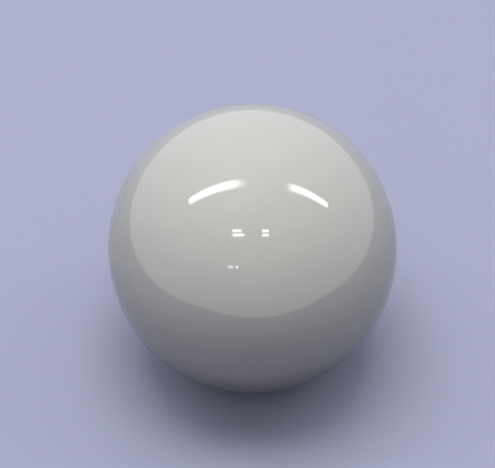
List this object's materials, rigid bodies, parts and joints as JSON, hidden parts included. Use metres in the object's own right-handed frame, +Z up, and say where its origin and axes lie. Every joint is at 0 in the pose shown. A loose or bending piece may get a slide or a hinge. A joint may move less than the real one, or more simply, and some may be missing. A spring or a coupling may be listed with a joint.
{
  "type": "ceramic valve ball",
  "caption": "Solid white ceramic ball, polished all over, that opens and closes a ball check valve or pump valve by lifting off and dropping onto a ring seat.",
  "frame": {"origin": "the ball's centre", "axes": "+Z up, -Z towards the ring seat that the ball drops onto; the ball is the same about every axis"},
  "size_m": [0.0381, 0.038, 0.0382],
  "materials": {
    "polished_zirconia": "polished"
  },
  "bodies": {
    "root": {"valve_ball": "polished_zirconia"}
  },
  "joints": []
}
